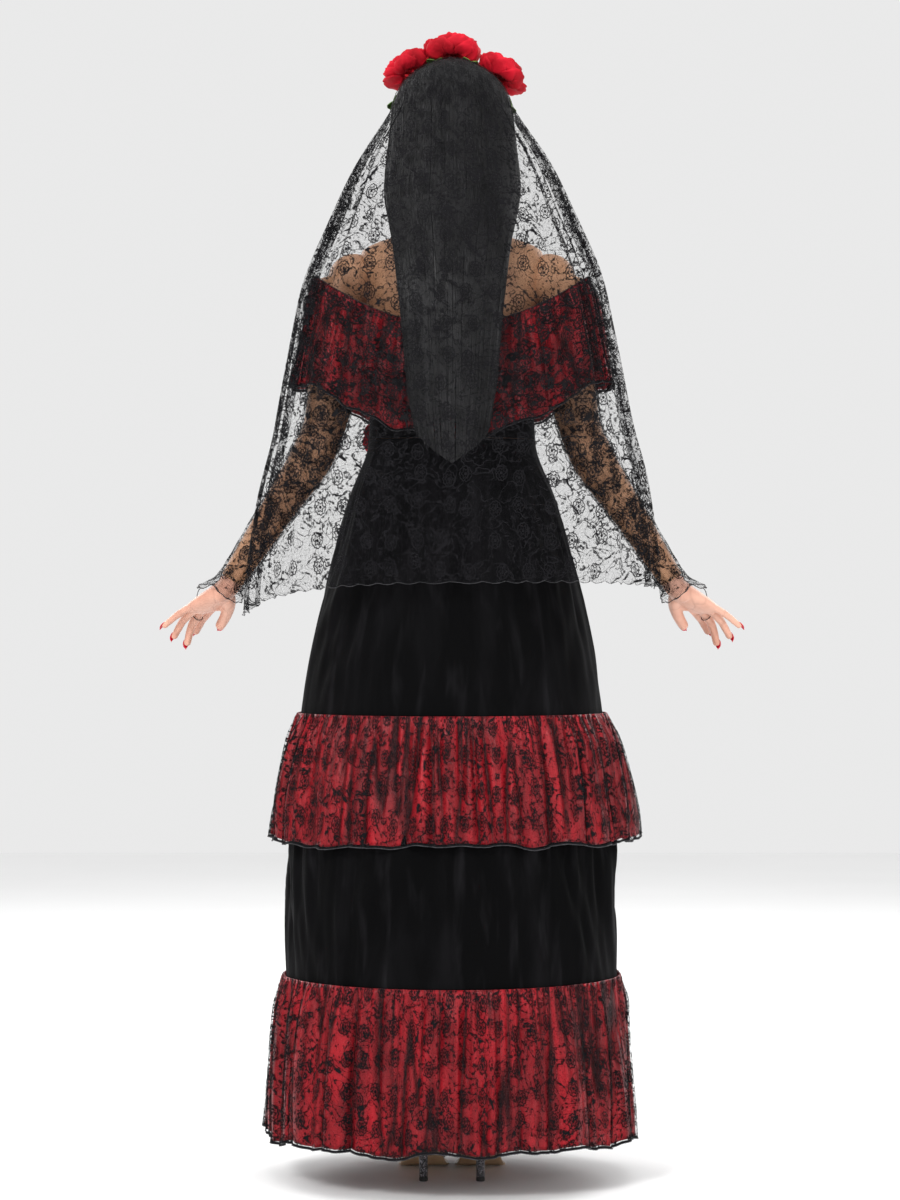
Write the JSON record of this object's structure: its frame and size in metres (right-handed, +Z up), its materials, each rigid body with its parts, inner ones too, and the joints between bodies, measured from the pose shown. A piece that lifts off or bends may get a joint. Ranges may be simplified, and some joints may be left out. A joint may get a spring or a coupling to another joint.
{
  "type": "dressed papier-mache catrina figure",
  "caption": "Life-size papier-mache skull-faced lady in a tiered velvet gown with satin and lace ruffles, long black hair, a rose headband, a lace veil and high-heeled shoes.",
  "frame": {"origin": "on the floor, in the middle of the figure's width and depth", "axes": "+Z up along the figure, the figure faces -Y, +X to the figure's own left"},
  "size_m": [0.8944, 0.556, 1.7804],
  "materials": {
    "painted_skin": "matt paint on paper",
    "painted_hand": "satin paint on paper",
    "painted_face": "matt paint on paper",
    "armature_wood": "bare",
    "armature_steel": "bare",
    "black_velvet": "pile",
    "red_satin": "satin",
    "black_lace": "net",
    "veil_lace": "net",
    "black_hair": "fibre",
    "wig_net": "net",
    "band_ribbon": "ribbon",
    "rose_cloth": "velvety",
    "leaf_cloth": "matt",
    "shoe_leather": "glossy",
    "shoe_sole": "smooth",
    "shoe_heel": "glittered",
    "heel_rubber": "matt"
  },
  "bodies": {
    "torso": {"torso_front": "painted_skin", "torso_back": "painted_skin", "leg_and_foot_left": "painted_skin", "leg_and_foot_right": "painted_skin", "hip_block": "armature_wood", "neck_block": "armature_wood", "spine_post": "armature_wood", "arm_axle": "armature_steel", "leg_rod_left": "armature_steel", "leg_rod_right": "armature_steel", "axle_washer_left": "armature_steel", "axle_washer_right": "armature_steel", "axle_nut_left": "armature_steel", "axle_nut_right": "armature_steel", "bodice": "black_velvet", "skirt_upper_tier": "black_velvet", "skirt_lower_tier": "black_velvet", "middle_ruffle_satin": "red_satin", "hem_ruffle_satin": "red_satin", "bertha_satin_left": "red_satin", "bertha_satin_right": "red_satin", "middle_ruffle_lace": "black_lace", "hem_ruffle_lace": "black_lace", "bertha_lace_left": "black_lace", "bertha_lace_right": "black_lace", "waist_rose": "rose_cloth", "shoe_upper_left": "shoe_leather", "shoe_upper_right": "shoe_leather", "shoe_sole_left": "shoe_sole", "shoe_sole_right": "shoe_sole", "shoe_heel_left": "shoe_heel", "shoe_heel_right": "shoe_heel", "heel_tip_left": "heel_rubber", "heel_tip_right": "heel_rubber"},
    "head": {"face_mask": "painted_face", "head_back": "painted_face", "neck_socket": "armature_wood", "wig_cap": "wig_net", "hair_crown": "black_hair", "hair_fall": "black_hair", "headband": "band_ribbon", "rose_left": "rose_cloth", "rose_middle": "rose_cloth", "rose_right": "rose_cloth", "leaf_outer_left": "leaf_cloth", "leaf_inner_left": "leaf_cloth", "leaf_inner_right": "leaf_cloth", "leaf_outer_right": "leaf_cloth", "veil": "veil_lace"},
    "arm_left": {"arm_left": "painted_skin", "sleeve_left": "black_lace"},
    "hand_left": {"hand_left": "painted_hand", "wrist_peg_left": "armature_wood"},
    "arm_right": {"arm_right": "painted_skin", "sleeve_right": "black_lace"},
    "hand_right": {"hand_right": "painted_hand", "wrist_peg_right": "armature_wood"}
  },
  "joints": [
    {"name": "neck_turn", "type": "hinge", "parent": "torso", "child": "head", "pos_m": [0, 0.004, 1.5084], "axis": [0, 0, 1], "range_deg": [-25, 25], "deforming": ["hair_fall", "veil"]},
    {"name": "shoulder_swing_left", "type": "hinge", "parent": "torso", "child": "arm_left", "pos_m": [0.1686, 0.004, 1.395], "axis": [1, 0, 0], "range_deg": [-35, 5], "deforming": ["bertha_satin_left", "bertha_lace_left"]},
    {"name": "wrist_turn_left", "type": "hinge", "parent": "arm_left", "child": "hand_left", "pos_m": [0.34351, 0.00096, 0.92686], "axis": [0.5444, -0.03, -0.8383], "range_deg": [-20, 20], "deforming": ["sleeve_left"]},
    {"name": "shoulder_swing_right", "type": "hinge", "parent": "torso", "child": "arm_right", "pos_m": [-0.1686, 0.004, 1.395], "axis": [1, 0, 0], "range_deg": [-35, 5], "deforming": ["bertha_satin_right", "bertha_lace_right"]},
    {"name": "wrist_turn_right", "type": "hinge", "parent": "arm_right", "child": "hand_right", "pos_m": [-0.34351, 0.00096, 0.92686], "axis": [-0.5444, -0.03, -0.8383], "range_deg": [-20, 20], "deforming": ["sleeve_right"]}
  ]
}
